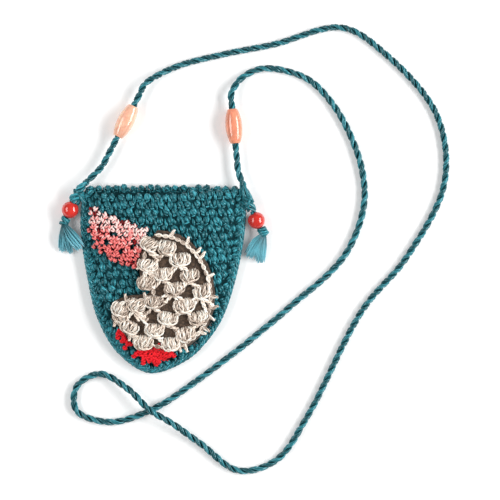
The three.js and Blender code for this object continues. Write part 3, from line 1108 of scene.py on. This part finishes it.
    def picot(self, felt, root, out, chance):
        """A short loop that stands out from the edge and ends in a knob"""
        place, up = drop(felt, root.x, root.y)
        if place is None:
            return []
        way = Matrix.Rotation(chance.uniform(-0.5, 0.5), 3, UP) @ out
        reach = chance.uniform(3, 4.4) * MM
        base = place + up * 1.0 * MM
        radius = sizes().thread * 0.5
        slope = Vector((0, 0, -0.18))
        tip = base + (way + slope) * reach
        beside = way.cross(UP) * 0.4 * MM
        stalk = [base, base + (way + slope) * reach * 0.6 + UP * 0.3 * MM, tip]
        loop = [base + beside, base + (way + slope) * reach * 0.55 + beside * 2, tip]
        return [
            Strand(stalk, [radius, radius * 0.9, radius * 1.5], [0, 2, 4]),
            Strand(loop, [radius * 0.8, radius * 0.9, radius], [0, 2, 4]),
        ]


class LACEPOUCH_OT_fine_lace(bpy.types.Operator):
    """Pink and red lace: small close stitches with open holes between"""

    bl_idname = "lacepouch.fine_lace"
    bl_label = "Fine lace"

    def execute(self, context):
        chance = random.Random(53)
        pink = kept_material(shaded_thread)
        red = kept_material(red_thread)
        # The lower layer of the pink lace is painted dark red, as the shade between the stitches
        under = kept_material(deep_thread)
        lace = surface_of("pink_lace")
        front = surface_of("front_panel")
        low, high = (Vector(c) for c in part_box("pink_lace"))
        wider = millimetres(2, 2, 0)
        spots = self.grid((low - wider, high + wider), sizes().fine_stitch * 0.98, chance)
        holes = [millimetres(*hole, 0) for hole in PINK_HOLES]
        upper, lower = [], []
        for x, y in spots:
            place, out = self.near(lace, front, x, y)
            near_hole = any((Vector((x, y, 0)) - hole).length < 1.5 * MM for hole in holes)
            if place is None or near_hole:
                continue
            if chance.random() > 0.08:
                upper += self.stitch(place, out, chance.choice((-0.7, 0.7)) + math.pi / 2, 0, chance)
            lower += self.stitch(place, out, chance.uniform(0, math.pi), 0.7 * MM, chance)
        finish_piece(self.mesh(upper), "pink_stitches", pink, ["pink_lace"])
        finish_piece(self.mesh(lower), "pink_underside", under, ["pink_lace"])
        finish_piece(self.mesh(self.red(chance)), "red_stitches", red, ["red_lace"])
        return {"FINISHED"}

    def near(self, lace, front, x, y):
        """A place on the lace, or on the front close beside it"""
        place, out = drop(lace, x, y)
        if place is None:
            edge, _, _, _ = lace.find_nearest(Vector((x, y, 10 * MM)))
            beside = math.dist((x, y), edge[:2])
            place, out = drop(front, x, y) if beside < 1.1 * MM else (None, None)
            if place:
                place = place + out * 1.6 * MM
        return place, out

    def grid(self, box, pitch, chance):
        """Places in staggered rows, each a little off its row"""
        (left, low, _), (right, high, _) = box
        spots = []
        for row in range(int((high - low) / (pitch * 0.86)) + 2):
            for column in range(int((right - left) / pitch) + 2):
                x = left + (column + 0.5 * (row % 2) + chance.uniform(-0.18, 0.18)) * pitch
                y = low + (row * 0.86 + chance.uniform(-0.18, 0.18)) * pitch
                spots.append((x, y))
        return spots

    def red(self, chance):
        """Close red stitches in patches, with a ragged edge"""
        ground = surface_of("red_lace", "front_panel", "lace_backing")
        front = surface_of("front_panel")
        low = millimetres(min(x - r for x, y, r in RED_PATCHES), min(y - r for x, y, r in RED_PATCHES), 0)
        high = millimetres(max(x + r for x, y, r in RED_PATCHES), max(y + r for x, y, r in RED_PATCHES), 0)
        spots = [(x * MM, y * MM) for x, y in RED_TEETH]
        for x, y in self.grid((low, high), sizes().fine_stitch * 0.82, chance):
            depth = max(r - math.dist((x / MM, y / MM), (px, py)) for px, py, r in RED_PATCHES)
            if depth > 0.9 or (depth > 0 and chance.random() < 0.65):
                spots.append((x, y))
        strands = []
        for x, y in spots:
            place, out = drop(ground, x, y)
            if place is None:
                continue
            under, _ = drop(front, x, y)
            if under:
                place.z = max(place.z, under.z + 1.5 * MM)
            strands += self.stitch(place, out, chance.choice((-0.7, 0.7)), 0, chance)
            strands += self.stitch(place, out, chance.uniform(0, math.pi), 0.5 * MM, chance)
        return strands

    def mesh(self, strands):
        return yarn_mesh(strands, plies=2, groove=0.75, steps=2)

    def stitch(self, place, out, turn, depth, chance):
        """A pair of short plump lengths side by side, nearer at one end, that turn down at both"""
        pitch = sizes().fine_stitch
        turn += chance.uniform(-0.3, 0.3)
        strands = []
        for hand in (-1, 1):
            heading = turn + hand * 0.28
            along = laid_on(Vector((math.cos(heading), math.sin(heading), 0)), out)
            thick = pitch * 0.265 * chance.uniform(0.85, 1.15)
            crown = place + out * (0.15 * MM - thick - depth) + out.cross(along) * hand * pitch * 0.22
            reach = along * 0.44 * pitch * chance.uniform(0.85, 1.1)
            points = [crown - reach - out * 0.5 * MM, crown, crown + reach - out * 0.5 * MM]
            start = chance.uniform(0, FULL_TURN)
            strands.append(tapered(points, thick, 0.65, start))
        return strands


class LACEPOUCH_OT_lashings(bpy.types.Operator):
    """Turns of yarn that lash the cord to each corner of the mouth"""

    bl_idname = "lacepouch.lashings"
    bl_label = "Cord lashings"

    def execute(self, context):
        chance = random.Random(61)
        cotton = kept_material(mercerised_cotton)
        for corner in CORNERS:
            mesh = yarn_mesh([self.turn(points, chance) for points in corner.lashing])
            node = f"{corner.side}_cord_lashing"
            finish_piece(mesh, f"{corner.side}_lashing_yarn", cotton, [node])
        return {"FINISHED"}

    def turn(self, points, chance):
        """One length of yarn over the corner, thinner where it goes in"""
        thick = 1.15 * MM * chance.uniform(0.88, 1.1)
        spin = chance.uniform(0, FULL_TURN)
        radii = [thick * 0.8, *[thick] * (len(points) - 2), thick * 0.75]
        return Strand([millimetres(*p) for p in points], radii, [spin + k * 1.3 for k in range(len(points))])


class LACEPOUCH_OT_tassels(bpy.types.Operator):
    """A knot under each round bead, with the cord's ends combed out below it"""

    bl_idname = "lacepouch.tassels"
    bl_label = "Tassels"

    def execute(self, context):
        chance = random.Random(71)
        cotton = kept_material(mercerised_cotton)
        ends = kept_material(combed_cotton)
        for corner in CORNERS:
            hang = Vector(corner.hang).normalized()
            bead = millimetres(*corner.bead)
            knot = bead + hang * 6.1 * MM
            knot_mesh = yarn_mesh(self.knot(bead, knot, hang, chance))
            node = f"{corner.side}_tassel"
            finish_piece(knot_mesh, f"{corner.side}_knot", cotton, [node])
            fan = self.fan(knot + hang * 1.4 * MM, corner.lobes, chance)
            fan_mesh = yarn_mesh(fan, plies=2, groove=0.9, steps=2)
            finish_piece(fan_mesh, f"{corner.side}_tassel_ends", ends, [node])
        return {"FINISHED"}

    def knot(self, bead, knot, hang, chance):
        """The thin cord end through the bead, and the turns of the knot below it"""
        stem = [bead - hang * 4.9 * MM, bead, knot]
        strands = [Strand(stem, [0.85 * MM] * 3, [0, 4, 8])]
        side = hang.cross(UP).normalized()
        over = side.cross(hang)
        for i in range(3):
            tilt = Matrix.Rotation(chance.uniform(-0.5, 0.5), 3, over)
            tilt = tilt @ Matrix.Rotation(chance.uniform(-0.3, 0.3), 3, side)
            middle = knot + hang * (i - 1) * 1.15 * MM
            points = []
            for k in range(7):
                angle = FULL_TURN * k / 6 * 0.95
                loop = side * 1.6 * MM * math.cos(angle) + over * 1.35 * MM * math.sin(angle)
                points.append(middle + tilt @ loop)
            strands.append(Strand(points, [0.9 * MM] * 7, [k * 0.9 for k in range(7)]))
        return strands

    def fan(self, top, lobes, chance):
        """Fine ends that spread from the knot in lobes and lie on the table"""
        strands = []
        for x, y, z, half_width in lobes:
            tip = millimetres(x, y, z)
            ahead = (tip - top).normalized()
            side = ahead.cross(UP).normalized()
            sway = chance.uniform(-0.6, 0.6)
            for i in range(LOBE_ENDS):
                spread = (i + 0.5) / LOBE_ENDS * 2 - 1
                strands.append(self.end(top, tip, ahead, side * half_width * MM, spread, sway, chance))
        return strands

    def end(self, top, tip, ahead, side, spread, sway, chance):
        """One fine end of a lobe, which sways with it and strays a little"""
        stray = chance.uniform(-1, 1)
        layer = chance.random()
        end = tip + side * (spread + stray * 0.3) + UP * (layer * 1.8 - 0.4) * MM
        end += ahead * (chance.uniform(-2, 0.8) - 1.2 * spread * spread) * MM
        end.z = max(end.z, 0.35 * MM)
        root = top + side * spread * 0.3 + UP * (layer - 0.5) * 1.6 * MM
        bow = side * (spread * 0.3 + sway * 0.35 + stray * 0.1) + UP * (0.7 + layer) * 0.7 * MM
        middle = root.lerp(end, 0.5) + bow
        return Strand([root, middle, end], [0.34 * MM, 0.36 * MM, 0.14 * MM], [0, 0.5, 1])


class LACEPOUCH_OT_beads(bpy.types.Operator):
    """Coral barrel beads on the cord and red round beads at the corners, each with its bore"""

    bl_idname = "lacepouch.beads"
    bl_label = "Beads"

    def execute(self, context):
        glass = kept_material(red_glass)
        for bead in BARRELS:
            mesh = self.spun(self.barrel_profile(), millimetres(*bead.place), Vector(bead.along))
            resin = kept_material(clouded_resin, bead.resin)
            node = f"{bead.side}_barrel_bead"
            body = f"{bead.side}_slider"
            finish_piece(mesh, f"{bead.side}_barrel", resin, [node], body)
        for corner in CORNERS:
            mesh = self.spun(self.round_profile(), millimetres(*corner.bead), Vector(corner.hang))
            node = f"{corner.side}_round_bead"
            body = f"{corner.side}_roller"
            finish_piece(mesh, f"{corner.side}_round", glass, [node], body)
        return {"FINISHED"}

    def barrel_profile(self):
        """Half the outline of a barrel: radius and place along its bore"""
        half = sizes().barrel_length / 2
        widest, narrowest, bore = sizes().barrel_width / 2, sizes().barrel_end / 2, sizes().barrel_bore / 2
        mouth = half * 0.97
        outline = [(bore, -mouth)]
        for i in range(25):
            share = math.sin((i / 24 - 0.5) * math.pi)
            radius = narrowest + (widest - narrowest) * (1 - share * share) ** 0.8
            outline.append((radius, half * share))
        outline.append((bore, mouth))
        return outline

    def round_profile(self):
        """Half the outline of a round bead, drilled through"""
        radius, bore = sizes().bead_width / 2, sizes().bead_bore / 2
        flat = 0.93
        widest = math.asin(flat)
        outline = [(bore, -radius * flat)]
        for i in range(25):
            angle = (i / 24 * 2 - 1) * widest
            outline.append((radius * math.cos(angle), radius * math.sin(angle)))
        outline.append((bore, radius * flat))
        return outline

    def spun(self, outline, place, along):
        """The outline, with its bore closed, turned once round its own line"""
        work = bmesh.new()
        points = [work.verts.new((radius, 0, high)) for radius, high in outline]
        edges = [work.edges.new(pair) for pair in zip(points, points[1:] + points[:1])]
        bmesh.ops.spin(
            work,
            geom=points + edges,
            cent=(0, 0, 0),
            axis=(0, 0, 1),
            angle=FULL_TURN,
            steps=48,
            use_merge=True,
        )
        bmesh.ops.remove_doubles(work, verts=work.verts, dist=1e-7)
        bmesh.ops.recalc_face_normals(work, faces=work.faces)
        turn = UP.rotation_difference(along.normalized()).to_matrix().to_4x4()
        bmesh.ops.transform(work, matrix=Matrix.Translation(place) @ turn, verts=work.verts)
        mesh = bpy.data.meshes.new("bead")
        work.to_mesh(mesh)
        work.free()
        return mesh


OPERATORS = (
    LACEPOUCH_OT_stage,
    LACEPOUCH_OT_beads,
    LACEPOUCH_OT_tassels,
    LACEPOUCH_OT_neck_cord,
    LACEPOUCH_OT_panels,
    LACEPOUCH_OT_seam,
    LACEPOUCH_OT_backing,
    LACEPOUCH_OT_bobble_lace,
    LACEPOUCH_OT_fine_lace,
    LACEPOUCH_OT_lashings,
)


class LACEPOUCH_PT_panel(bpy.types.Panel):
    """Lists the steps that build the pouch"""

    bl_idname = "LACEPOUCH_PT_panel"
    bl_label = "Lace Pouch"
    bl_space_type = "VIEW_3D"
    bl_region_type = "UI"
    bl_category = "Lace Pouch"

    def draw(self, context):
        for group in (context.scene.lace_pouch_sizes, context.scene.lace_pouch_colours):
            for name in group.__annotations__:
                self.layout.prop(group, name)
        for operator in OPERATORS:
            self.layout.operator(operator.bl_idname)


CLASSES = (PouchSizes, PouchColours, *OPERATORS, LACEPOUCH_PT_panel)


def register():
    for item in CLASSES:
        bpy.utils.register_class(item)
    bpy.types.Scene.lace_pouch_sizes = bpy.props.PointerProperty(type=PouchSizes)
    bpy.types.Scene.lace_pouch_colours = bpy.props.PointerProperty(type=PouchColours)


def unregister():
    del bpy.types.Scene.lace_pouch_colours
    del bpy.types.Scene.lace_pouch_sizes
    for item in reversed(CLASSES):
        bpy.utils.unregister_class(item)


def main():
    register()
    bpy.ops.lacepouch.stage()
    bpy.ops.lacepouch.beads()
    bpy.ops.lacepouch.tassels()
    bpy.ops.lacepouch.neck_cord()
    bpy.ops.lacepouch.panels()
    bpy.ops.lacepouch.seam()
    bpy.ops.lacepouch.backing()
    bpy.ops.lacepouch.bobble_lace()
    bpy.ops.lacepouch.fine_lace()
    bpy.ops.lacepouch.lashings()


if __name__ == "__main__":
    main()
